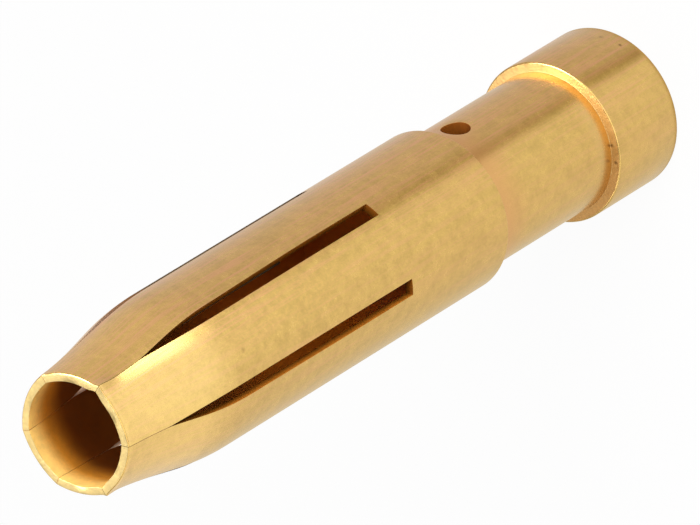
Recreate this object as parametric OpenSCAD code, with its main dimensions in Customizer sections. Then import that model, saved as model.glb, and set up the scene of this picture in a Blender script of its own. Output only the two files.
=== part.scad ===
// Round crimp socket contact, turned from one bar.
// It stands on its rear face, with the spring tines of the socket pointing up.

/* [Body] */
// Length from the rear face to the rim of the socket
overall_l = 28; // [26.5:0.1:32]
// Diameter of the body that sits in the connector's insert
body_d = 5.4; // [5:0.02:6]
// Height of the shoulder under the body, above the rear face
shoulder_z = 9.2; // [7.5:0.05:10]
// Chamfer on the body's rear edge
body_edge = 0.06; // [0.02:0.01:0.2]

/* [Collar and neck] */
// Diameter of the rear collar
collar_d = 5.4; // [5:0.02:6]
// Length of the rear collar
collar_l = 3.2; // [2:0.05:4.5]
// Chamfer on the collar's front edge
collar_edge = 0.04; // [0.02:0.01:0.2]
// Chamfer on the collar's rear edge
rear_edge = 0.1; // [0.02:0.01:0.3]
// Diameter of the neck between the collar and the body
neck_d = 4.74; // [4.4:0.02:4.9]

/* [Crimp barrel] */
// Diameter of the bore that takes the stripped wire
barrel_d = 3.3; // [2.4:0.05:3.7]
// Depth of the countersink that leads the strands in
barrel_lead = 0.3; // [0.1:0.05:0.4]
// Diameter of the inspection hole
sight_d = 0.94; // [0.6:0.02:1.2]
// Distance of the inspection hole's centre behind the shoulder
sight_drop = 1.15; // [0.8:0.05:1.6]
// How far the full bore runs past the inspection hole's centre
barrel_over = 0.85; // [0.6:0.05:1.2]

/* [Socket] */
// Thickness of the tines
tine_t = 0.28; // [0.2:0.01:0.4]
// Length of the saw cuts, from the rim
slot_l = 13.7; // [11:0.05:14]
// How far the bore between the tines runs past the saw cuts
socket_over = 1.2; // [0.5:0.1:1.5]
// Width of the saw cuts
slot_w = 0.54; // [0.45:0.01:0.6]
// Gap left between the tips of two tines
slit_w = 0.03; // [0.02:0.01:0.06]
// Diameter of the mouth that the closed tips are sized to, for the pin to spread
grip_d = 3.54; // [3.4:0.02:3.7]
// How deep the sizing plug presses into the middle of each tip
sizing = 0.07; // [0.05:0.01:0.1]

/* [Tine bend] */
// Height of the bent part of a tine, down from the rim
bend_h = 5.3; // [5:0.05:6]
// Radius of the bend that tucks a tine inward
tuck_r = 11; // [9:0.5:13]
// Length of the straight slope after it
slope_l = 1; // [0.8:0.02:1.4]
// Radius of the bend that eases the tip back up to the rim
ease_r = 17.5; // [12:0.5:25]

/* [Hidden] */
$fn = 96;
// Three saw cuts across the bore leave six tines
TINES = 6;
// Angle of a drill's point, in degrees
DRILL_POINT = 118;
// How far a cut runs past the surface that it opens
SLACK = 1;
// How far a tine is bent past the rim before it is faced off, as a share of its tip
OVERSHOOT = 1.3;
// How far each stretch of a tine starts inside the one below it
LAP_L = 0.05;
// How much slimmer each stretch is all round than the one below it, so that no faces lie flush in a lap
LAP_TRIM = 0.004;

body_r = body_d / 2;
bore_r = body_r - tine_t;
slot_z = overall_l - slot_l;
straight_l = slot_l - bend_h;
socket_z = slot_z - socket_over;
sight_z = shoulder_z - sight_drop;
barrel_depth = sight_z + barrel_over;
tine_span = 360 / TINES;
// The tines are tucked in until their tips meet the sizing plug
tuck_a = tuck_for(bore_r - grip_d / 2 + sizing);
ease_a = OVERSHOOT * tip_h(tuck_a) / ease_r * 180 / PI;

function drill_point_h(d) = d / 2 / tan(DRILL_POINT / 2);

// Turn that carries a bend back into the stretch below it
function lap_angle(radius) = LAP_L / radius * 180 / PI;

// Height that the easing bend has left to climb to the rim, after a first bend of the given angle
function tip_h(tuck) = bend_h - tuck_r * sin(tuck) - slope_l * cos(tuck);

// How far the tip has come in at the rim, for a first bend of the given angle
function tip_shift(tuck) =
    let (lean = asin(sin(tuck) - tip_h(tuck) / ease_r))
    tuck_r * (1 - cos(tuck)) + slope_l * sin(tuck) + ease_r * (cos(lean) - cos(tuck));

// First bend that brings the tip in by the given shift, found by halving the span that holds it
function tuck_for(shift, low = 2, high = 22, steps = 24) =
    let (middle = (low + high) / 2)
    steps == 0 ? middle :
    tip_shift(middle) < shift ? tuck_for(shift, middle, high, steps - 1) :
    tuck_for(shift, low, middle, steps - 1);

// Outside of the bar as turned, up to the end of the saw cuts
module turned_blank() {
    collar_r = collar_d / 2;
    neck_r = neck_d / 2;
    rotate_extrude()
        polygon([
            [0, 0],
            [collar_r - rear_edge, 0],
            [collar_r, rear_edge],
            [collar_r, collar_l - collar_edge],
            [collar_r - collar_edge, collar_l],
            [neck_r, collar_l],
            [neck_r, shoulder_z],
            [body_r - body_edge, shoulder_z],
            [body_r, shoulder_z + body_edge],
            [body_r, slot_z],
            [0, slot_z]
        ]);
}

// Blind bore for the wire, with its countersink and drill point
module barrel_bore() {
    barrel_r = barrel_d / 2;
    rotate_extrude()
        polygon([
            [0, -SLACK],
            [barrel_r + barrel_lead + SLACK, -SLACK],
            [barrel_r, barrel_lead],
            [barrel_r, barrel_depth],
            [0, barrel_depth + drill_point_h(barrel_d)]
        ]);
}

// Small hole that shows whether the strands reach the end of the barrel
module sight_hole() {
    translate([0, 0, sight_z])
        rotate([0, 90, 0])
            cylinder(d = sight_d, h = body_d);
}

// Blind end of the bore between the tines
module socket_bore() {
    rotate_extrude()
        polygon([
            [0, socket_z - drill_point_h(2 * bore_r)],
            [bore_r, socket_z],
            [bore_r, slot_z + SLACK],
            [0, slot_z + SLACK]
        ]);
}

// Slice of the plane that belongs to one tine, about the X axis, with a gap to its neighbours
module tine_wedge(gap) {
    reach = 2 * body_d;
    half_span = reach * tan(tine_span / 2);
    translate([gap / 2 / sin(tine_span / 2), 0])
        polygon([[0, 0], [reach, -half_span], [reach, half_span]]);
}

// Cross-section of one tine between two saw cuts, slimmed for its place in the row of laps
module tine_section(lap) {
    trim = lap * LAP_TRIM;
    intersection() {
        difference() {
            circle(r = body_r - trim);
            circle(r = bore_r + trim);
        }
        tine_wedge(slot_w + 2 * trim);
    }
}

// Straight stretch of a tine
module straight(length, lap) {
    translate([0, 0, -LAP_L])
        linear_extrude(LAP_L + length)
            tine_section(lap);
}

// Stretch of a tine that is bent toward the axis
module inward_bend(radius, angle, lap) {
    translate([body_r - radius, 0, 0])
        rotate([0, lap_angle(radius), 0])
            rotate([90, 0, 0])
                rotate_extrude(angle = lap_angle(radius) + angle)
                    translate([radius - body_r, 0])
                        tine_section(lap);
}

// Stretch of a tine that is bent away from the axis
module outward_bend(radius, angle, lap) {
    translate([body_r + radius, 0, 0])
        rotate([0, -lap_angle(radius), 0])
            mirror([1, 0, 0])
                rotate([90, 0, 0])
                    rotate_extrude(angle = lap_angle(radius) + angle)
                        translate([radius + body_r, 0])
                            mirror([1, 0, 0])
                                tine_section(lap);
}

// Carries its children to the end of a bend about a pivot line across the tine
module past_bend(pivot_x, angle) {
    translate([pivot_x, 0, 0])
        rotate([0, -angle, 0])
            translate([-pivot_x, 0, 0])
                children();
}

// One tine from the end of the saw cuts up, trimmed to its own slice and faced off at the rim
module tine() {
    intersection() {
        union() {
            straight(straight_l, 1);
            translate([0, 0, straight_l]) {
                inward_bend(tuck_r, tuck_a, 2);
                past_bend(body_r - tuck_r, tuck_a) {
                    straight(slope_l, 3);
                    translate([0, 0, slope_l])
                        outward_bend(ease_r, ease_a, 4);
                }
            }
        }
        translate([0, 0, -SLACK])
            linear_extrude(SLACK + slot_l)
                tine_wedge(slit_w);
    }
}

// The whole contact: the bored bar, the closed tines and the mouth that they are sized to
module socket_contact() {
    color("goldenrod")
        difference() {
            union() {
                difference() {
                    turned_blank();
                    barrel_bore();
                    sight_hole();
                    socket_bore();
                }
                for (i = [0 : TINES - 1])
                    rotate(tine_span * i)
                        translate([0, 0, slot_z])
                            tine();
            }
            translate([0, 0, overall_l - bend_h])
                cylinder(d = grip_d, h = bend_h + SLACK);
        }
}

socket_contact();
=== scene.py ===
# %% [markdown]
# A round crimp socket contact
#
# The object is one small contact out of a power connector. It is turned from a brass bar, drilled from both ends,
# sawn into six spring tines, closed at the mouth and then gold plated. This script takes the measured solid as a
# fixed frame, models a finer skin over it, plates that skin, and lights it like a studio shot.

# %% Load the frame
import bmesh
import bpy
from math import asin, atan2, cos, exp, pi, radians, sin, sqrt, tan
from mathutils import Matrix, Vector


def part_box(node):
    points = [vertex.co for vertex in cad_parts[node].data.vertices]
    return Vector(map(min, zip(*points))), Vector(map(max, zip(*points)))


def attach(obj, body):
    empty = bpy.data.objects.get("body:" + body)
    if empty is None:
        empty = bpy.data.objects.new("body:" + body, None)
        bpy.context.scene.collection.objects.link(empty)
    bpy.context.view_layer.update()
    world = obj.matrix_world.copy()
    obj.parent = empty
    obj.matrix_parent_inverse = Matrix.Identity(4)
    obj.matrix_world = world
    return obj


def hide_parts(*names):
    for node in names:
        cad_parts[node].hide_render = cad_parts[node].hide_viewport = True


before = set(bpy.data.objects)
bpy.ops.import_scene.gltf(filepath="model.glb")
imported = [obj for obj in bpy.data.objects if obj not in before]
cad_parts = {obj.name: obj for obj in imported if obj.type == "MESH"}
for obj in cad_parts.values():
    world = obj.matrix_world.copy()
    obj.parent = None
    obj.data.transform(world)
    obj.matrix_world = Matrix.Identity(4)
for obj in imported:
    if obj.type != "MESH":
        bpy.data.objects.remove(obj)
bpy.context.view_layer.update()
MM = 0.001
low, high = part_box("socket_contact")
print("measured solid, in mm:", [round(v / MM, 3) for v in high - low])

# %% [markdown]
# Sizes
#
# Blender works in metres, so a contact of 28 mm is tiny. The overall length and the body's radius are read from the
# frame, and the rest are the sizes that the turner would have on the drawing, in millimetres times MM. The shape
# below is worked out from these names, so that a change here carries through the whole model.

# %% Sizes on the drawing
LENGTH = high.z
BODY_R = high.x
SHOULDER_Z = 9.2 * MM
SHOULDER_EDGE = 0.06 * MM
NECK_R = 2.37 * MM
COLLAR_Z = 3.2 * MM
COLLAR_EDGE = 0.04 * MM
REAR_EDGE = 0.1 * MM
BARREL_R = 1.65 * MM
BARREL_Z = 8.9 * MM
BARREL_LEAD = 0.3 * MM
TINES = 6
TINE_T = 0.28 * MM
BORE_R = BODY_R - TINE_T
SLOT_W = 0.54 * MM
SLOT_Z = LENGTH - 13.7 * MM
SOCKET_Z = SLOT_Z - 1.2 * MM
BEND_Z = LENGTH - 5.3 * MM
# Angle of a drill's point in degrees, and the rise of its cone for each step outward
DRILL_POINT = 118
DRILL_SLOPE = tan(radians(90 - DRILL_POINT / 2))
print("saw cuts end", round(SLOT_Z / MM, 2), "mm above the rear face")

# %% [markdown]
# The outline
#
# A turned part is one outline swung round its axis. The outline here starts at the bottom of the socket's drill
# point, climbs the inside of the tines, crosses the rim, comes down the outside past the shoulder, the neck and the
# collar, turns in at the rear face and ends at the bottom of the wire bore. Rows of points are added only where the
# surface will be bent or drilled later, because a straight cylinder needs none between its ends.

# %% Draw the outline
NOSE_ROWS = 26
TINE_ROWS = 8
HOLE_R = 0.47 * MM
HOLE_Z = 8.05 * MM
HOLE_ROWS = 6
HOLE_REACH = 0.7 * MM


def rows(start, end, count):
    """Heights from start to end in equal steps, without the first."""
    return [start + (end - start) * i / count for i in range(1, count + 1)]


tine_heights = [SLOT_Z] + rows(SLOT_Z, BEND_Z, TINE_ROWS) + rows(BEND_Z, LENGTH, NOSE_ROWS)
hole_heights = [HOLE_Z - HOLE_REACH] + rows(HOLE_Z - HOLE_REACH, HOLE_Z + HOLE_REACH, HOLE_ROWS)
outline = [(0, SOCKET_Z - BORE_R * DRILL_SLOPE), (BORE_R, SOCKET_Z)]
outline += [(BORE_R, z) for z in tine_heights]
outline += [(BODY_R, z) for z in reversed(tine_heights)]
outline += [(BODY_R, SHOULDER_Z + SHOULDER_EDGE), (BODY_R - SHOULDER_EDGE, SHOULDER_Z), (NECK_R, SHOULDER_Z)]
outline += [(NECK_R, z) for z in reversed(hole_heights)]
outline += [(NECK_R, COLLAR_Z), (BODY_R - COLLAR_EDGE, COLLAR_Z), (BODY_R, COLLAR_Z - COLLAR_EDGE)]
outline += [(BODY_R, REAR_EDGE), (BODY_R - REAR_EDGE, 0), (BARREL_R + BARREL_LEAD, 0), (BARREL_R, BARREL_LEAD)]
outline += [(BARREL_R, z) for z in hole_heights]
outline += [(BARREL_R, BARREL_Z), (0, BARREL_Z + BARREL_R * DRILL_SLOPE)]

bm = bmesh.new()
points = [bm.verts.new((r, 0, z)) for r, z in outline]
for a, b in zip(points, points[1:]):
    bm.edges.new((a, b))
print("outline points:", len(points))

# %% [markdown]
# The turned blank
#
# Spin swings the outline round the axis, as the lathe does. One column every three degrees puts columns next to the
# edges of the saw cuts and round the inspection hole. A full turn needs use_merge, so that the last column is the
# first again. The two ends of the outline lie on the axis, where every column meets, so doubles are merged there.

# %% Spin the outline
COLUMN = radians(3)
COLUMNS = round(2 * pi / COLUMN)
# Points closer than this count as one
NEAR = 0.01 * MM
bmesh.ops.spin(
    bm, geom=bm.verts[:] + bm.edges[:], cent=(0, 0, 0), axis=(0, 0, 1), dvec=(0, 0, 0),
    angle=2 * pi, steps=COLUMNS, use_merge=True, use_normal_flip=False, use_duplicate=False,
)
bmesh.ops.remove_doubles(bm, verts=bm.verts[:], dist=NEAR)
bmesh.ops.recalc_face_normals(bm, faces=bm.faces[:])
print("turned blank:", len(bm.faces), "faces, open edges:", sum(e.is_boundary for e in bm.edges))

# %% [markdown]
# The saw cuts
#
# Three cuts across the bore leave six tines. A boolean would cut them too, but it leaves ragged faces that bevel and
# shade badly. Deleting the four columns that the saw takes away leaves two matching edges on the inner and the outer
# skin, and bridging them makes the walls of the cut and its square end in one go. The points along the cut are then
# turned onto the saw's two planes, so that the cut is as wide inside as outside.

# %% Saw the slots
SAWN = 1
TINE_ANGLE = 2 * pi / TINES
SLOT_HALF = 2 * COLUMN
MID_WALL_R = (BODY_R + BORE_R) / 2
slot_angles = [(k + 0.5) * TINE_ANGLE for k in range(TINES)]


def off_slot(co, slot):
    """Angle from the middle of a slot to a point, in radians from -pi to pi."""
    turn = atan2(co.y, co.x) - slot
    return (turn + pi) % (2 * pi) - pi


def in_slot(co, slot, reach):
    """Whether a point lies within an angle of a slot's middle and not below the slot's end."""
    return abs(off_slot(co, slot)) < reach and co.z > SLOT_Z - NEAR


sawdust = [f for f in bm.faces if any(in_slot(f.calc_center_median(), slot, SLOT_HALF) for slot in slot_angles)]
bmesh.ops.delete(bm, geom=sawdust, context="FACES")
for slot in slot_angles:
    rim_of_cut = [
        e for e in bm.edges
        if e.is_boundary and all(in_slot(v.co, slot, SLOT_HALF + COLUMN / 2) for v in e.verts)
    ]
    sides = [e for e in rim_of_cut if len({v.co.xy.length > MID_WALL_R for v in e.verts}) == 1]
    walls = bmesh.ops.bridge_loops(bm, edges=sides)["faces"]
    for f in walls:
        f.material_index = SAWN
    for v in {v for f in walls for v in f.verts}:
        side = off_slot(v.co, slot)
        if abs(side) > SLOT_HALF - COLUMN / 2:
            saw_plane = asin(SLOT_W / 2 / v.co.xy.length) * (1 if side > 0 else -1)
            v.co.rotate(Matrix.Rotation(saw_plane - side, 3, "Z"))
print("tines:", TINES, "open edges:", sum(e.is_boundary for e in bm.edges))

# %% [markdown]
# The inspection hole
#
# The small cross hole shows whether the wire's strands reach the end of their bore. A patch of faces is deleted on
# the neck and on the bore behind it, a circle with as many points as the patch has edges is laid on each skin, and
# three bridges join patch to circle, circle to circle and circle to patch.

# %% Drill the inspection hole
BORED = 2
HOLE_COLUMNS = 6


def open_patch(skin_r):
    """Deletes the patch of a skin that the hole passes through and returns the patch's edges and the hole's circle."""
    patch = [
        f for f, co in [(f, f.calc_center_median()) for f in bm.faces]
        if abs(co.z - HOLE_Z) < HOLE_REACH
        and abs(co.xy.length - skin_r) < NEAR
        and abs(atan2(co.y, co.x)) < HOLE_COLUMNS * COLUMN
    ]
    edges = [e for e in {e for f in patch for e in f.edges} if sum(g in patch for g in e.link_faces) == 1]
    bmesh.ops.delete(bm, geom=patch, context="FACES")
    upright = Matrix.Translation((0, 0, HOLE_Z)) @ Matrix.Rotation(pi / 2, 4, "Y")
    circle = bmesh.ops.create_circle(bm, segments=len(edges), radius=HOLE_R, matrix=upright)["verts"]
    for v in circle:
        v.co.x = sqrt(skin_r ** 2 - v.co.y ** 2)
    return edges, list({e for v in circle for e in v.link_edges})


neck_patch, neck_circle = open_patch(NECK_R)
bore_patch, bore_circle = open_patch(BARREL_R)
bmesh.ops.bridge_loops(bm, edges=neck_patch + neck_circle)
bmesh.ops.bridge_loops(bm, edges=bore_patch + bore_circle)
for f in bmesh.ops.bridge_loops(bm, edges=neck_circle + bore_circle)["faces"]:
    f.material_index = BORED
bmesh.ops.recalc_face_normals(bm, faces=bm.faces[:])
print("hole wall joined, open edges:", sum(e.is_boundary for e in bm.edges))

# %% [markdown]
# Finishes and edges
#
# Each stage of the work leaves its own finish, so faces get a material number by what made them: the outside as
# turned, the neck turned finer, the faces cut across the axis, the saw's walls, and the drilled bores, which the
# plating bath hardly reaches. A turned corner is never perfectly sharp: a bevel a fiftieth of a millimetre wide
# catches the light as a thin line, and the nose, which leads a pin in, is rounded three times as wide. The saw's
# corners stay sharp, because a bevel would draw a bright line along every cut. All this is done while the tines are
# still straight, when corners are easy to tell from bends.

# %% Sort the finishes and break the edges
NECK = 3
FACED = 4
EDGE_BREAK = 0.02 * MM
NOSE_BREAK = 0.06 * MM
BREAK_STEPS = 3
SHARP = radians(28)
# A face lies across the axis if its normal rises at least this much
LEVEL = 0.9

for f in bm.faces:
    middle = f.calc_center_median()
    reach = middle.xy.length
    if f.material_index == 0 and f.normal.xy.dot(middle.xy) < 0 and reach < BORE_R + NEAR:
        f.material_index = BORED
    elif f.material_index == 0 and abs(reach - NECK_R) < NEAR:
        f.material_index = NECK
    elif f.material_index == 0 and f.normal.z > LEVEL:
        f.material_index = FACED
corners = [e for e in bm.edges if e.calc_face_angle() > SHARP]
sawn_corners = [e for e in corners if any(f.material_index == SAWN for f in e.link_faces)]
for e in sawn_corners:
    e.smooth = False
nose_corners = [
    e for e in corners
    if e.smooth and all(v.co.z > LENGTH - NEAR and v.co.xy.length > MID_WALL_R for v in e.verts)
]
turned_corners = [e for e in corners if e.smooth and e not in nose_corners]
for geom, width in ((turned_corners, EDGE_BREAK), (nose_corners, NOSE_BREAK)):
    bmesh.ops.bevel(
        bm, geom=geom, offset=width, offset_type="OFFSET", segments=BREAK_STEPS, profile=0.5,
        affect="EDGES", clamp_overlap=True, material=-1,
    )
print("corners left sharp:", len(sawn_corners), "corners broken:", len(turned_corners) + len(nose_corners))

# %% [markdown]
# The bend of a tine
#
# The tines are tucked in until their tips touch, so each follows a bend, a short slope and an easing bend back up to
# the rim. Blender's bend modifier works on a whole mesh, but here six tines bend toward six sides, so the points are
# moved in code. Walking up the outer skin of a tine gives the way in, the way up and the lean at any step, and the
# walk that ends in the rim's plane is found by halving.

# %% Roll one tine along its bend
TUCK_R = 11 * MM
TUCK = radians(11.52)
SLOPE_L = 1.0 * MM
EASE_R = 17.5 * MM
HALVINGS = 24


def skin_point(walk):
    """(way in, way up, lean) of the outer skin after walking up a tine from the start of its bend."""
    bent = min(walk, TUCK_R * TUCK)
    lean = bent / TUCK_R
    inward, up = TUCK_R * (1 - cos(lean)), TUCK_R * sin(lean)
    slope = min(walk - bent, SLOPE_L)
    inward += slope * sin(lean)
    up += slope * cos(lean)
    eased = lean - (walk - bent - slope) / EASE_R
    inward += EASE_R * (cos(eased) - cos(lean))
    up += EASE_R * (sin(lean) - sin(eased))
    return inward, up, eased


def walk_to_rim(depth):
    """How far to walk until a point at this depth under the skin reaches the rim's plane."""
    near, far = 0, 2 * (LENGTH - BEND_Z)
    for _ in range(HALVINGS):
        middle = (near + far) / 2
        _, up, lean = skin_point(middle)
        near, far = (middle, far) if BEND_Z + up - depth * sin(lean) < LENGTH else (near, middle)
    return near


RIM_WALK = walk_to_rim(0)
RIM_WALK_GROWTH = (walk_to_rim(TINE_T) - RIM_WALK) / TINE_T
print("skin of a tine from bend to rim:", round(RIM_WALK / MM, 3), "mm")

# %% [markdown]
# Uneven tines
#
# A closing tool never meets six tines alike. Here it pulled some slits a few degrees round, pinched the slots as they
# near the mouth and raised small burrs where two tips were pressed together. Each of these is a short table, with the
# slits counted round from the first saw cut. A pull grows smoothly with the height, so that it leaves no kink in a
# tine.

# %% Pulls, pinches and burrs
# Heights between which the closing tool pulled the tines sideways
PULL_Z = LENGTH - 11 * MM
PULLED_Z = LENGTH - 4 * MM
# Degrees by which each slit drifted, at the upper of these heights and at the rim
SLIT_DRIFT = ((0, 2.6), (8, 8), (0, 5), (0, 0), (0.3, 0.3), (-1.3, -1.3))
# How far each slot was pinched narrower on both sides
SLOT_PINCH = [w * MM for w in (0, 0.1, 0.13, 0.04, 0.02, 0.035)]
# Height and width of the burrs at the rim on both sides of a slit
BURRS = {3: (0.05 * MM, 0.16 * MM), 5: (0.16 * MM, 0.24 * MM)}


def ease(share):
    """Runs from 0 to 1 with a soft start and a soft end."""
    share = min(1, max(0, share))
    return share * share * (3 - 2 * share)


def pull(height):
    """Share of the closing tool's pull that a tine has at a height."""
    return ease((height - PULL_Z) / (PULLED_Z - PULL_Z))


def drift(slit, height):
    """Angle by which a slit has drifted at a height."""
    pulled, rim = SLIT_DRIFT[slit]
    late = ease((height - PULLED_Z) / (LENGTH - PULLED_Z))
    return radians(pulled * pull(height) + (rim - pulled) * late)


print("slits that drifted:", [i for i, turns in enumerate(SLIT_DRIFT) if any(turns)], "with burrs:", list(BURRS))

# %% [markdown]
# Closing the mouth
#
# Now each point of a tine is moved once. Below the bend it only turns with the pull. Above it the point keeps its
# depth under the outer skin while that skin is rolled along the bend, and where a tine meets its neighbours its sides
# are trimmed back to a hairline slit. The inside of each tip is then sized by a round plug, so a point that lies too
# far in is pushed out to the plug's radius.

# %% Close all six
SLIT_W = 0.014 * MM
GRIP_R = 1.72 * MM
# Squared cotangent of half a tine's angle
SPREAD = 3
TIP_L = 0.5 * MM


def close_tine(co):
    """The place of one point of a straight tine on the closed one."""
    tine = round(atan2(co.y, co.x) / TINE_ANGLE)
    slit_before, slit_after = (tine - 1) % TINES, tine % TINES
    reach = co.xy.length
    angle = atan2(co.y, co.x) - tine * TINE_ANGLE
    side = TINE_ANGLE / 2 - asin(SLOT_W / 2 / reach)
    across = angle / side / 2 + 0.5
    drifted = drift(slit_before, co.z) * (1 - across) + drift(slit_after, co.z) * across
    pinch = SLOT_PINCH[slit_after if angle > 0 else slit_before]
    widened = 1 + pinch * pull(co.z) / reach / side
    if co.z < BEND_Z:
        return Matrix.Rotation(angle * (widened - 1) + drifted, 3, "Z") @ co
    share = (co.z - BEND_Z) / (LENGTH - BEND_Z)
    depth = BODY_R - reach * cos(angle)
    inward, up, lean = skin_point(share * (RIM_WALK + RIM_WALK_GROWTH * depth))
    # Angle at which the tucked tine would meet the slit, against the angle of its sawn side
    slack = BODY_R * (1 - cos(lean)) - inward - SLIT_W
    meets = atan2(cos(lean), sqrt(SPREAD)) + asin(slack / reach / sqrt(SPREAD + cos(lean) ** 2))
    angle *= min(widened, meets / side)
    depth = BODY_R - reach * cos(angle)
    x, y = BODY_R - inward - depth * cos(lean), reach * sin(angle)
    z = BEND_Z + up - depth * sin(lean)
    if reach < MID_WALL_R:
        grow = max(1, GRIP_R / sqrt(x * x + y * y))
        x, y = x * grow, y * grow
    for slit, way in ((slit_before, -1), (slit_after, 1)):
        if slit in BURRS:
            # A burr reaches down twice as far as sideways, and it leans out along the slit more than it rises
            height, width = BURRS[slit]
            gap = (LENGTH - z) ** 2 / 4 + (TINE_ANGLE / 2 - way * atan2(y, x)) ** 2 * reach ** 2
            rise = height * exp(-gap / width ** 2)
            x, y, z = x + rise * cos(TINE_ANGLE / 2), y + way * rise * sin(TINE_ANGLE / 2), z + rise / 2
    return Matrix.Rotation(tine * TINE_ANGLE + drifted, 3, "Z") @ Vector((x, y, z))


for v in bm.verts:
    if v.co.z > PULL_Z:
        v.co = close_tine(v.co)
mouth = min(v.co.xy.length for v in bm.verts if v.co.z > LENGTH - TIP_L)
print("mouth closed to", round(2 * mouth / MM, 3), "mm")

# %% [markdown]
# From bmesh to object
#
# The finished points become a mesh. Smooth shading with a weighted normal modifier lets the large faces stay flat and
# gives all of the turning to the narrow bevels, so that the shading of a cylinder isn't dragged round its corners.

# %% Make the contact
scene = bpy.context.scene


def make_object(name, bm):
    """Turns a finished bmesh into an object of the scene."""
    mesh = bpy.data.meshes.new(name)
    bm.to_mesh(mesh)
    bm.free()
    made = bpy.data.objects.new(name, mesh)
    scene.collection.objects.link(made)
    return made


contact = make_object("crimp_contact", bm)
contact.data.shade_smooth()
even = contact.modifiers.new("even_shading", "WEIGHTED_NORMAL")
even.mode = "FACE_AREA"
even.weight = 50
even.keep_sharp = True
print("contact:", len(contact.data.polygons), "faces")

# %% [markdown]
# Node helpers
#
# A material is a tree of nodes, and code that makes it soon drowns in socket names. A few short helpers keep it
# readable: one adds any node, four wrap the nodes that come up most, and one starts a group, which is a tree that
# other trees can use.

# %% Node helpers
def add(tree, kind, inputs=None, **settings):
    """Adds a node. Its inputs are given as sockets to link or as plain values."""
    made = tree.nodes.new("ShaderNode" + kind)
    for name, value in settings.items():
        setattr(made, name, value)
    for name, value in (inputs or {}).items():
        if isinstance(value, bpy.types.NodeSocket):
            tree.links.new(value, made.inputs[name])
        else:
            made.inputs[name].default_value = value
    return made


def remap(tree, value, start, end, first, last, **settings):
    """Runs from first to last while a value runs from start to end, and holds still outside."""
    ends = {"Value": value, "From Min": start, "From Max": end, "To Min": first, "To Max": last}
    return add(tree, "MapRange", ends, **settings).outputs["Result"]


def blend(tree, share, color, other):
    """A colour with a share of another mixed in. Several sockets of a Mix node have one name, so they go by number."""
    return add(tree, "Mix", {0: share, 6: color, 7: other}, data_type="RGBA").outputs[2]


def scaled(tree, vector, factor):
    """A vector or a colour times one factor."""
    return add(tree, "VectorMath", {0: vector, "Scale": factor}, operation="SCALE").outputs["Vector"]


def noise(tree, spot, scale, detail, roughness=0.5):
    """A cloudy value about 0.5."""
    values = {"Vector": spot, "Scale": scale, "Detail": detail, "Roughness": roughness}
    return add(tree, "TexNoise", values).outputs["Fac"]


def new_group(name, takes, gives):
    """Starts a node group and returns its tree, its input node and its output node."""
    tree = bpy.data.node_groups.new(name, "ShaderNodeTree")
    for way, sockets in (("INPUT", takes), ("OUTPUT", gives)):
        for label, kind in sockets.items():
            tree.interface.new_socket(label, in_out=way, socket_type="NodeSocket" + kind)
    return tree, tree.nodes.new("NodeGroupInput"), tree.nodes.new("NodeGroupOutput")


print("helpers:", [helper.__name__ for helper in (add, remap, blend, scaled, noise, new_group)])

# %% [markdown]
# Where on the contact
#
# Turned metal is marked in rings and streaks, so its textures need to know how far up, how far out and how far round
# a point is. A node group works this out once from Object coordinates, in millimetres. The way round is kept as a
# direction and not as an angle, because an angle jumps by a full turn somewhere and leaves a seam.

# %% Place group
place_group, _, gives = new_group(
    "place_on_contact", {}, {"Place": "Vector", "Round": "Vector", "Out": "Float", "Up": "Float"}
)
in_mm = scaled(place_group, add(place_group, "TexCoord").outputs["Object"], 1 / MM)
flat = add(place_group, "VectorMath", {0: in_mm, 1: (1, 1, 0)}, operation="MULTIPLY").outputs["Vector"]
for label, socket in (
    ("Place", in_mm),
    ("Round", add(place_group, "VectorMath", {0: flat}, operation="NORMALIZE").outputs["Vector"]),
    ("Out", add(place_group, "VectorMath", {0: flat}, operation="LENGTH").outputs["Value"]),
    ("Up", add(place_group, "SeparateXYZ", {0: in_mm}).outputs["Z"]),
):
    place_group.links.new(socket, gives.inputs[label])
print("group:", place_group.name)

# %% [markdown]
# Marks in the plating, and painted streaks
#
# Bright plating is never one even colour. Soft clouds with a fine grain show where the bath was uneven, long streaks
# along the axis are a painted reflection of the room, strongest on one side, and fine rings are what the lathe left
# under the gold. Clouds and streaks change the colour, the clouds change the roughness too, and the rings give the
# height for a bump.

# %% Plating group
GRAIN_SHARE = 0.35
# How fast the noise of the streaks runs round the contact and along it, and that of the rings along each axis
STREAKS_ROUND = (12, 12, 12)
STREAKS_ALONG = (0, 0, 0.12)
RINGS_ALONG = (0.6, 0.6, 14)
plating, takes, gives = new_group(
    "plating_marks_and_painted_streaks", {"Color": "Color", "Streak": "Color"}, {"Color": "Color", "Roughness": "Float", "Height": "Float"}
)
here = add(plating, "Group", node_tree=place_group)
place = here.outputs["Place"]

clouds = noise(plating, place, scale=2.4, detail=5, roughness=0.7)
grain = noise(plating, place, scale=11, detail=2)
mottled = add(plating, "Math", {0: grain, 1: GRAIN_SHARE, 2: clouds}, operation="MULTIPLY_ADD").outputs[0]
cloudy = remap(plating, mottled, 0.5, 0.85, 0.89, 1.1)
toned = scaled(plating, takes.outputs["Color"], cloudy)

long_way = add(plating, "VectorMath", {0: place, 1: STREAKS_ALONG}, operation="MULTIPLY").outputs["Vector"]
streak_way = add(
    plating, "VectorMath", {0: here.outputs["Round"], 1: STREAKS_ROUND, 2: long_way}, operation="MULTIPLY_ADD"
).outputs["Vector"]
streaks = noise(plating, streak_way, scale=2.2, detail=4, roughness=0.7)
# The streaks are a painted reflection, strongest on one side of the contact
side = add(plating, "SeparateXYZ", {0: here.outputs["Round"]}).outputs["X"]
reflection_side_share = remap(plating, side, 0.5, 0.85, 0.4, 1)
streaky = remap(plating, streaks, 0.46, 0.64, 0, reflection_side_share)
marked = blend(plating, streaky, toned, takes.outputs["Streak"])

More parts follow.
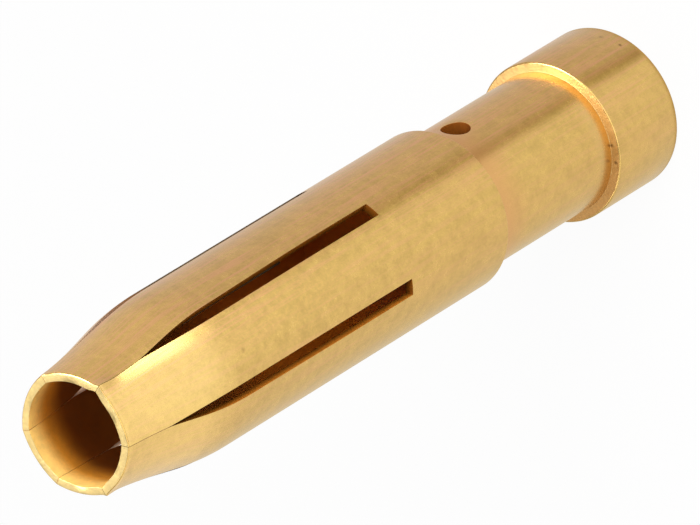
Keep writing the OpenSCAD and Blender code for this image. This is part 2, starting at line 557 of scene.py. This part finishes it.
ring_way = add(plating, "VectorMath", {0: place, 1: RINGS_ALONG}, operation="MULTIPLY").outputs["Vector"]
rings = noise(plating, ring_way, scale=1, detail=3, roughness=0.7)
for label, socket in (("Color", marked), ("Roughness", cloudy), ("Height", rings)):
    plating.links.new(socket, gives.inputs[label])
print("group:", plating.name)

# %% [markdown]
# The five finishes
#
# Gold is a metal, so its colour sits in the reflection: Metallic is 1 and Base Color is the colour of the shine. A
# lathe's rings scatter light along the axis and hardly round it, which the Anisotropic value does. Without a tangent
# of its own the shader takes the way round the object's Z axis, and a quarter turn of Anisotropic Rotation points the
# long side of the shine up the contact. The bores and the saw cuts are too dull to shine, so their gloss is low.

# %% Plate, saw, drill, neck and face finishes
GOLD = (0.69, 0.452, 0.132, 1)
# Colour of the painted streaks
STREAK = (0.79, 0.44, 0.185, 1)
# Dark brown of the saw's walls
SAW_BROWN = (0.34, 0.11, 0.011, 1)
QUARTER_TURN = 0.25
RING_DEPTH = 0.004 * MM


def finish(name, roughness, stretch=0, relief=0, gloss=0.5, color=GOLD, streak=STREAK):
    """A metal with the plating's marks and its painted streaks. Returns the material's node tree, its shader and its
    marks.
    """
    material = bpy.data.materials.new(name)
    material.use_nodes = True
    tree = material.node_tree
    shader = tree.nodes["Principled BSDF"]
    shader.inputs["Metallic"].default_value = 1
    shader.inputs["Anisotropic"].default_value = stretch
    shader.inputs["Anisotropic Rotation"].default_value = QUARTER_TURN
    shader.inputs["Specular IOR Level"].default_value = gloss
    marks = add(tree, "Group", {"Color": color, "Streak": streak}, node_tree=plating)
    rough = add(tree, "Math", {0: marks.outputs["Roughness"], 1: roughness}, operation="MULTIPLY").outputs[0]
    tree.links.new(marks.outputs["Color"], shader.inputs["Base Color"])
    tree.links.new(rough, shader.inputs["Roughness"])
    if relief:
        bump = add(tree, "Bump", {"Height": marks.outputs["Height"], "Strength": relief, "Distance": RING_DEPTH})
        tree.links.new(bump.outputs[0], shader.inputs["Normal"])
    contact.data.materials.append(material)
    return tree, shader, marks


# In the order of the faces' material numbers
plate_tree, plate_shader, plate_marks = finish("gold_plate", roughness=0.25, stretch=0.6, relief=0.2)
saw_tree, saw_shader, saw_marks = finish(
    "sawn_walls", roughness=0.65, relief=0.08, gloss=0, color=SAW_BROWN, streak=SAW_BROWN
)
bore_tree, bore_shader, bore_marks = finish("drilled_bores", roughness=0.7, relief=0.04, gloss=0.05)
neck_tree, neck_shader, neck_marks = finish("turned_neck", roughness=0.25, stretch=0.5, relief=0.15)
face_tree, face_shader, face_marks = finish("faced_ends", roughness=0.55)
print("finishes:", [m.name for m in contact.data.materials])

# %% [markdown]
# A painted fade from the rim
#
# Deep in a bore or a narrow cut little light arrives, so the colour there is painted light and shade: it runs from a
# lit tone at the rim to a dark one inward. Bores and cuts share this fade, a group that blends three colours by the
# depth under the rim. Reach is the depth at which the last colour is full.

# %% Fade group
TOP = LENGTH / MM
painted_depth_fade, takes, gives = new_group(
    "painted_light_and_shade_by_depth", {"Rim": "Color", "Middle": "Color", "Deep": "Color", "Reach": "Float"}, {"Color": "Color"}
)
here = add(painted_depth_fade, "Group", node_tree=place_group)
under = add(painted_depth_fade, "Math", {0: TOP, 1: here.outputs["Up"]}, operation="SUBTRACT").outputs[0]
depth = add(painted_depth_fade, "Math", {0: under, 1: takes.outputs["Reach"]}, operation="DIVIDE").outputs[0]
color = takes.outputs["Rim"]
for near, far, deeper in ((0.1, 0.5, "Middle"), (0.4, 1, "Deep")):
    share = remap(painted_depth_fade, depth, near, far, 0, 1, interpolation_type="SMOOTHSTEP")
    color = blend(painted_depth_fade, share, color, takes.outputs[deeper])
painted_depth_fade.links.new(color, gives.inputs["Color"])
print("group:", painted_depth_fade.name)

# %% [markdown]
# The bores
#
# At the rim the socket's bore is bright gold, and a little further down it turns orange and then dark: painted light
# and shade by depth. Below the bend, where the saw cuts let light in, that light is painted as a red brown that is no
# longer metallic. The wire's bore has the same finish but no cuts, so a mask by height keeps that brown out of it.

# %% Fade the bores
# Heights in the web between the wire's bore and the socket's
WEB_LOW, WEB_HIGH = 10, 11
# Depths under the rim between which the light through the cuts takes over
LIT_FROM, LIT_TO = 8, 11
# Painted light: the red brown that stands in for the light coming through the cuts
PAINTED_CUT_LIGHT = (0.46, 0.125, 0.008, 1)
BORE_METAL = 0.45
# Tones of the painted light and shade by depth in the bore
bore_fade = {
    "Rim": (1, 0.66, 0.19, 1), "Middle": (0.74, 0.32, 0.035, 1), "Deep": (0.24, 0.07, 0.008, 1), "Reach": 2.1
}
height = add(bore_tree, "Group", node_tree=place_group).outputs["Up"]
in_socket = remap(bore_tree, height, WEB_LOW, WEB_HIGH, 0, 1)
lit = remap(bore_tree, height, TOP - LIT_FROM, TOP - LIT_TO, 0, in_socket)
faded = add(bore_tree, "Group", bore_fade, node_tree=painted_depth_fade).outputs["Color"]
bore_color = blend(bore_tree, lit, faded, PAINTED_CUT_LIGHT)
for label in ("Color", "Streak"):
    bore_tree.links.new(bore_color, bore_marks.inputs[label])
bore_tree.links.new(remap(bore_tree, lit, 0, 1, BORE_METAL, 0), bore_shader.inputs["Metallic"])
print("faded:", contact.data.materials[BORED].name)

# %% [markdown]
# The walls of the cuts
#
# The walls are brown, with a painted shade that darkens them inward. On the far side a painted shade dulls them, but
# near the rim they keep a greyish metallic tone, a painted light which shows as slivers in the mouth. So their colour
# depends on how far out, how far round and how far up a point is.

# %% Brown the saw cuts and paint their shade
# Share of the brown left at the bore, a painted shade that darkens the walls inward
INNER_SHADE_SHARE = 0.3
# Where on the way round the far side begins and is full
FAR_FROM, FAR_TO = 0.2, 0.4
# Depths under the rim between which the greyish painted light of the slivers comes in
SLIVER_FROM, SLIVER_TO = 6, 4
SLIVER_METAL = 0.9
# Painted shade of the far side
FAR_SIDE_SHADE = (0.1, 0.065, 0.035, 1)
# Tones of the depth fade, whose greyish middle is the painted light of the slivers
saw_fade = {"Rim": (0.8, 0.5, 0.16, 1), "Middle": (0.62, 0.44, 0.3, 1), "Deep": SAW_BROWN, "Reach": 6}
here = add(saw_tree, "Group", node_tree=place_group)
# Painted shade: the walls darken from the outer skin to the bore
outer = remap(saw_tree, here.outputs["Out"], BORE_R / MM, BODY_R / MM, INNER_SHADE_SHARE, 1)
brown = scaled(saw_tree, saw_marks.outputs["Color"], outer)
round_y = add(saw_tree, "SeparateXYZ", {0: here.outputs["Round"]}).outputs["Y"]
# Painted shade on the far side, with a greyish painted light near the rim for the slivers
back = remap(saw_tree, round_y, FAR_FROM, FAR_TO, 0, 1)
sliver_light = remap(saw_tree, here.outputs["Up"], TOP - SLIVER_FROM, TOP - SLIVER_TO, 0, back)
faded = add(saw_tree, "Group", saw_fade, node_tree=painted_depth_fade).outputs["Color"]
far_side_shaded = blend(saw_tree, back, brown, FAR_SIDE_SHADE)
saw_tree.links.new(blend(saw_tree, sliver_light, far_side_shaded, faded), saw_shader.inputs["Base Color"])
saw_tree.links.new(remap(saw_tree, sliver_light, 0, 1, 0, SLIVER_METAL), saw_shader.inputs["Metallic"])
print("tarnished:", contact.data.materials[SAWN].name)

# %% [markdown]
# The neck
#
# The neck is a little paler next to the collar, a painted reflection of the collar's face, and warmer next to the
# shoulder. Each end has a tint that fades out with the distance from it.

# %% Tint the neck's ends
# Tint next to the collar, a painted reflection of the collar's face
PAINTED_COLLAR_REFLECTION = (0.75, 0.52, 0.21, 1)
WARM = (0.73, 0.4, 0.145, 1)
TINT_SHARE = 0.8
height = add(neck_tree, "Group", node_tree=place_group).outputs["Up"]
color = neck_marks.outputs["Color"]
for end, full, none, tint in ((COLLAR_Z / MM, 0, 0.8, PAINTED_COLLAR_REFLECTION), (SHOULDER_Z / MM, -0.5, -1.6, WARM)):
    color = blend(neck_tree, remap(neck_tree, height, end + full, end + none, TINT_SHARE, 0), color, tint)
neck_tree.links.new(color, neck_shader.inputs["Base Color"])
print("tinted:", contact.data.materials[NECK].name)

# %% [markdown]
# The faces
#
# The faces across the axis were cut in one quick pass, so their grain glitters: a fine noise in the bump tilts small
# spots toward the light. The collar's face is browner on one side, a painted reflection of the neck, and the rim at
# the nose is paler, so the colour of a face depends on the side and on the height.

# %% Glittering faces
FACE_GOLD = (0.72, 0.455, 0.175, 1)
# Browner tone of the collar's face on one side, a painted reflection of the neck
PAINTED_NECK_REFLECTION = (0.54, 0.31, 0.11, 1)
RIM_GOLD = (0.63, 0.475, 0.2, 1)
GRAIN_DEPTH = 0.04 * MM
here = add(face_tree, "Group", node_tree=place_group)
grain = noise(face_tree, here.outputs["Place"], scale=7, detail=2, roughness=0.6)
glitter = add(face_tree, "Bump", {"Height": grain, "Strength": 0.5, "Distance": GRAIN_DEPTH}).outputs[0]
face_tree.links.new(glitter, face_shader.inputs["Normal"])
side = add(face_tree, "SeparateXYZ", {0: here.outputs["Round"]}).outputs["X"]
# Painted reflection of the neck: the collar's face turns brown on one side
collar_with_reflection = blend(face_tree, remap(face_tree, side, 0.5, -0.4, 0, 1), FACE_GOLD, PAINTED_NECK_REFLECTION)
high_up = remap(face_tree, here.outputs["Up"], COLLAR_Z / MM, TOP, 0, 1)
face_color = blend(face_tree, high_up, collar_with_reflection, RIM_GOLD)
for label in ("Color", "Streak"):
    face_tree.links.new(face_color, face_marks.inputs[label])
print("tinted:", contact.data.materials[FACED].name)

# %% [markdown]
# Specks
#
# A few pits in the plating have gone dark. Each is a point on the surface with a size and a strength, and a mask that
# is strongest near the point darkens the gold there.

# %% Specks in the plate
# Place, size and strength of each speck
SPECKS = (
    ((0.378, -2.396, 3.2), 0.08, 0.9), ((-0.188, -2.518, 3.2), 0.09, 0.9), ((2.513, -0.988, 0.529), 0.08, 0.8),
    ((2.681, -0.317, 0.598), 0.1, 0.35), ((1.149, -2.443, 22.616), 0.12, 0.3),
)
# Share of its size within which a speck is darkest
SPECK_CORE = 0.2
SPECK_COLOR = (0.2, 0.1, 0.03, 1)
pitting, takes, gives = new_group("specks", {"Color": "Color"}, {"Color": "Color"})
here = add(pitting, "Group", node_tree=place_group)
mask = None
for spot, size, strength in SPECKS:
    away = add(pitting, "VectorMath", {0: here.outputs["Place"], 1: spot}, operation="DISTANCE").outputs["Value"]
    one = remap(pitting, away, SPECK_CORE * size, size, strength, 0)
    mask = one if mask is None else add(pitting, "Math", {0: mask, 1: one}, operation="MAXIMUM").outputs[0]
pitting.links.new(blend(pitting, mask, takes.outputs["Color"], SPECK_COLOR), gives.inputs["Color"])
for tree, shader, marks in ((plate_tree, plate_shader, plate_marks), (face_tree, face_shader, face_marks)):
    specked = add(tree, "Group", {"Color": marks.outputs["Color"]}, node_tree=pitting).outputs["Color"]
    tree.links.new(specked, shader.inputs["Base Color"])
print("specks:", len(SPECKS))

# %% [markdown]
# The camera
#
# The contact is seen from its nose at a slant, from far away through a long lens, so that its far end is hardly
# smaller than its near end. The camera is placed by the directions of the picture: toward it, to its right and up it.

# %% Camera
# Angle from the axis, angle round the axis, and slope of the axis in the picture
VIEW_TILT = radians(43.64)
VIEW_TURN = radians(-54.4)
PICTURE_TURN = atan2(0.52284, 0.85243)
# Width of the picture, focal length and size of a metre at the contact, in pixels
IMAGE_W = 700
FOCAL_PX = 14000
SCALE_PX = 32.404 / MM
# Where the picture's middle lies from the contact's
SHIFT_RIGHT = 0.0648 * MM
SHIFT_UP = 0.13 * MM

axis = Vector((0, 0, 1))
toward = Vector((cos(VIEW_TURN), sin(VIEW_TURN), 0))
aside = toward.cross(axis)
rearward = cos(VIEW_TILT) * toward - sin(VIEW_TILT) * axis
sight = sin(VIEW_TILT) * toward + cos(VIEW_TILT) * axis
right = cos(PICTURE_TURN) * rearward + sin(PICTURE_TURN) * aside
up = sin(PICTURE_TURN) * rearward - cos(PICTURE_TURN) * aside
middle = LENGTH / 2 * axis + SHIFT_RIGHT * right + SHIFT_UP * up

camera = bpy.data.cameras.new("camera")
camera.sensor_width = 36
camera.lens = camera.sensor_width * FOCAL_PX / IMAGE_W
camera.clip_start = 0.01
eye = bpy.data.objects.new("camera", camera)
eye.matrix_world = (
    Matrix.Translation(middle + FOCAL_PX / SCALE_PX * sight) @ Matrix((right, up, sight)).transposed().to_4x4()
)
scene.collection.objects.link(eye)
scene.camera = eye
scene.view_settings.view_transform = "Standard"
print("camera", round((eye.location - middle).length, 3), "m away")

# %% [markdown]
# Floor
#
# The contact stands on white paper. Its mirror-like walls show mostly that paper, so it is a real matt surface that
# takes the contact's shadow. Toward the camera it is lifted almost to white by an emission, where the shadow stays as
# a faint tone, and toward shiny rays it is lifted nearly as far.

# %% Paper floor
FLOOR_HALF_W = 2
FLOOR_DROP = 0.01 * MM
PAPER = (0.92, 0.92, 0.92, 1)
WHITE = (1, 1, 1, 1)
WHITE_SHARE = 0.94
SHINE_SHARE = 0.85


def empty_material(name):
    """A material whose tree has no nodes yet."""
    material = bpy.data.materials.new(name)
    material.use_nodes = True
    material.node_tree.nodes.clear()
    return material


bm = bmesh.new()
bmesh.ops.create_grid(bm, x_segments=1, y_segments=1, size=FLOOR_HALF_W)
bmesh.ops.translate(bm, verts=bm.verts[:], vec=-FLOOR_DROP * axis)
floor = make_object("floor", bm)
paper = empty_material("white_paper")
tree = paper.node_tree
matt = add(tree, "BsdfDiffuse", {"Color": PAPER}).outputs[0]
white = add(tree, "Emission", {"Color": WHITE, "Strength": 1}).outputs[0]
rays = add(tree, "LightPath")
lift = add(tree, "Math", {0: rays.outputs["Is Camera Ray"], 1: WHITE_SHARE}, operation="MULTIPLY").outputs[0]
lift = add(
    tree, "Math", {0: rays.outputs["Is Glossy Ray"], 1: SHINE_SHARE, 2: lift}, operation="MULTIPLY_ADD"
).outputs[0]
both = add(tree, "MixShader", {0: lift, 1: matt, 2: white}).outputs[0]
add(tree, "OutputMaterial", {"Surface": both})
floor.data.materials.append(paper)
print("floor:", floor.name)

# %% [markdown]
# Light
#
# A grey room fills the shadows. The key stands behind on the right and throws the contact's shadow forward to the
# left. The front lamp lights the nose and reaches into the mouth, but the metal doesn't mirror it. Four cards light
# nothing and only show in the metal: one behind for the faces that look up, one in front for the rim and the collar's
# edge, and one on each side for the narrow chamfers.

# %% Softboxes
ROOM_GREY = (0.45, 0.45, 0.45, 1)
world = bpy.data.worlds.new("studio")
scene.world = world
world.use_nodes = True
world.node_tree.nodes["Background"].inputs["Color"].default_value = ROOM_GREY


def softbox(name, turn, away, height, width, tall, strength, lights=True, shines=True):
    """A lamp round the contact. Its turn is in degrees from the camera's side, its lengths are in mm, 1 is white."""
    lamp = bpy.data.lights.new(name, "AREA")
    lamp.shape = "RECTANGLE"
    lamp.size, lamp.size_y = width * MM, tall * MM
    lamp.energy = pi * lamp.size * lamp.size_y * strength
    place = away * MM * (cos(radians(turn)) * toward + sin(radians(turn)) * aside) + height * MM * axis
    facing = (place - LENGTH / 2 * axis).to_track_quat("Z", "Y").to_matrix().to_4x4()
    box = bpy.data.objects.new(name, lamp)
    box.matrix_world = Matrix.Translation(place) @ facing
    box.visible_camera = False
    box.visible_diffuse, box.visible_glossy = lights, shines
    scene.collection.objects.link(box)


softbox("key", turn=134, away=80, height=103, width=60, tall=60, strength=2)
softbox("front", turn=-28, away=141, height=65, width=130, tall=60, strength=12, shines=False)
softbox("back_card", turn=185, away=70, height=95, width=70, tall=50, strength=1.3, lights=False)
softbox("front_card", turn=0, away=100, height=105, width=200, tall=150, strength=1.3, lights=False)
softbox("left_card", turn=-96, away=65, height=95, width=60, tall=60, strength=15, lights=False)
softbox("right_card", turn=75, away=100, height=60, width=130, tall=60, strength=1, lights=False)

# %% [markdown]
# Fans on the paper
#
# Whoever photographs polished metal lights what the metal sees. An upright wall seen from above mirrors the floor:
# a line down the wall at some angle shows the floor along a ray at twice that angle, and the higher the line, the
# farther out. So a card that lights one stretch of the wall is a fan of such rays. Each point keeps its share of the
# way across the fan as an attribute, and a colour ramp reads its tone from that share.

# %% Cut a fan and make it glow
FAN_STEPS = 88
# Height of each layer of cards over the one below it
CARD_LIFT = 0.02 * MM


def cut_fan(name, near, far, layer, start, end):
    """A fan between two distances in mm, along the rays that the wall's lines from start to end in degrees mirror."""
    bm = bmesh.new()
    share = bm.verts.layers.float.new("share")
    arcs = []
    for distance in (near, far):
        arc = []
        for i in range(FAN_STEPS + 1):
            line = radians(start + (end - start) * i / FAN_STEPS)
            foot, ray = (cos(a) * toward + sin(a) * aside for a in (line, 2 * line))
            arc.append(bm.verts.new(BODY_R * foot + distance * MM * ray + layer * CARD_LIFT * axis))
            arc[-1][share] = i / FAN_STEPS
        arcs += [bm.edges.new(pair) for pair in zip(arc, arc[1:])]
    bmesh.ops.bridge_loops(bm, edges=arcs)
    return make_object(name, bm)


def glow(name, tones):
    """A glowing material whose tones run across a fan. A tone is a line's angle in degrees and a colour."""
    start, end = tones[0][0], tones[-1][0]
    strength = max(max(color) for _, color in tones)
    material = empty_material(name)
    tree = material.node_tree
    ramp = add(tree, "ValToRGB", {"Fac": add(tree, "Attribute", attribute_name="share").outputs["Fac"]})
    for _ in tones[2:]:
        ramp.color_ramp.elements.new(0.5)
    for stop, (line, color) in zip(ramp.color_ramp.elements, tones):
        stop.position = (line - start) / (end - start)
        stop.color = *(c / strength for c in color), 1
    shine = add(tree, "Emission", {"Color": ramp.outputs["Color"], "Strength": strength}).outputs[0]
    add(tree, "OutputMaterial", {"Surface": shine})
    return material


print("a fan has", FAN_STEPS, "faces")

# %% [markdown]
# Cards on the paper
#
# Only shiny rays meet the cards, so they don't light the paper or show in the picture. Each paints the stripes of one
# stretch: the foot, the body, the tines and the leaning nose. Two small bright fans, one inside the other, make the
# spark on the tip. Cards that overlap are stacked in layers.

# %% Lay the cards
# Line of the wall at which the cards end on both sides, in degrees
EDGE = 88
# Distances at which the cards of the foot, the body, the tines and the nose end, in mm
FOOT_END, BODY_END, TINE_END, NOSE_END = 0.12, 14, 34, 200
LIMB = (0.84, 0.84, 0.86)
SHADE = (0.73, 0.68, 0.73)
OLIVE = (0.53, 0.47, 0.37)
# Tone of the foot's card, a painted contact shadow
FOOT_SHADOW_TONE = (0.64, 0.58, 0.48)
NOSE_SHADE = (0.88, 0.84, 0.88)
NOSE_LIGHT = (1.5, 1.6, 1.85)


def grey(level):
    """A tone without colour."""
    return level, level, level


def lay_card(name, near, far, layer, *tones):
    """Lays a glowing fan on the floor."""
    card = cut_fan(name, near, far, layer, tones[0][0], tones[-1][0])
    card.data.materials.append(glow(name, tones))
    card.visible_camera = card.visible_diffuse = card.visible_shadow = card.visible_transmission = False
    print("card:", name, len(card.data.polygons), "faces")


# The foot's card glows in a darker tone, a painted contact shadow that the metal mirrors at its foot
lay_card("foot_card", 0, FOOT_END, 1, (-EDGE, FOOT_SHADOW_TONE), (EDGE, FOOT_SHADOW_TONE))
for name, near, far, light in (("body_card", FOOT_END, BODY_END, 1.0), ("tine_card", BODY_END, TINE_END, 1.06)):
    lay_card(
        name, near, far, 1, (-EDGE, LIMB), (-68, SHADE), (-31, SHADE), (-22.5, OLIVE), (-20.5, OLIVE),
        (-14, grey(0.95)), (0, grey(light)), (18, (0.97, 0.96, 0.97)), (40, (0.93, 0.9, 0.92)),
        (60, (0.84, 0.82, 0.75)), (EDGE, (0.8, 0.78, 0.68)),
    )
lay_card(
    "nose_card", TINE_END, NOSE_END, 1, (-EDGE, NOSE_SHADE), (-25, NOSE_SHADE), (-19, NOSE_LIGHT), (15, NOSE_LIGHT),
    (35, (1.27, 1.32, 1.45)), (EDGE, (1.12, 1.12, 1.22)),
)
lay_card("spark_glow", 49, 66, 2, (-22, grey(4)), (-8.5, grey(4)))
lay_card("spark", 55, 64, 3, (-21.5, grey(13)), (-11.5, grey(13)))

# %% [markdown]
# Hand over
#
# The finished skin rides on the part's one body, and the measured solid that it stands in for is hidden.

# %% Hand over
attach(contact, "root")
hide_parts("socket_contact")
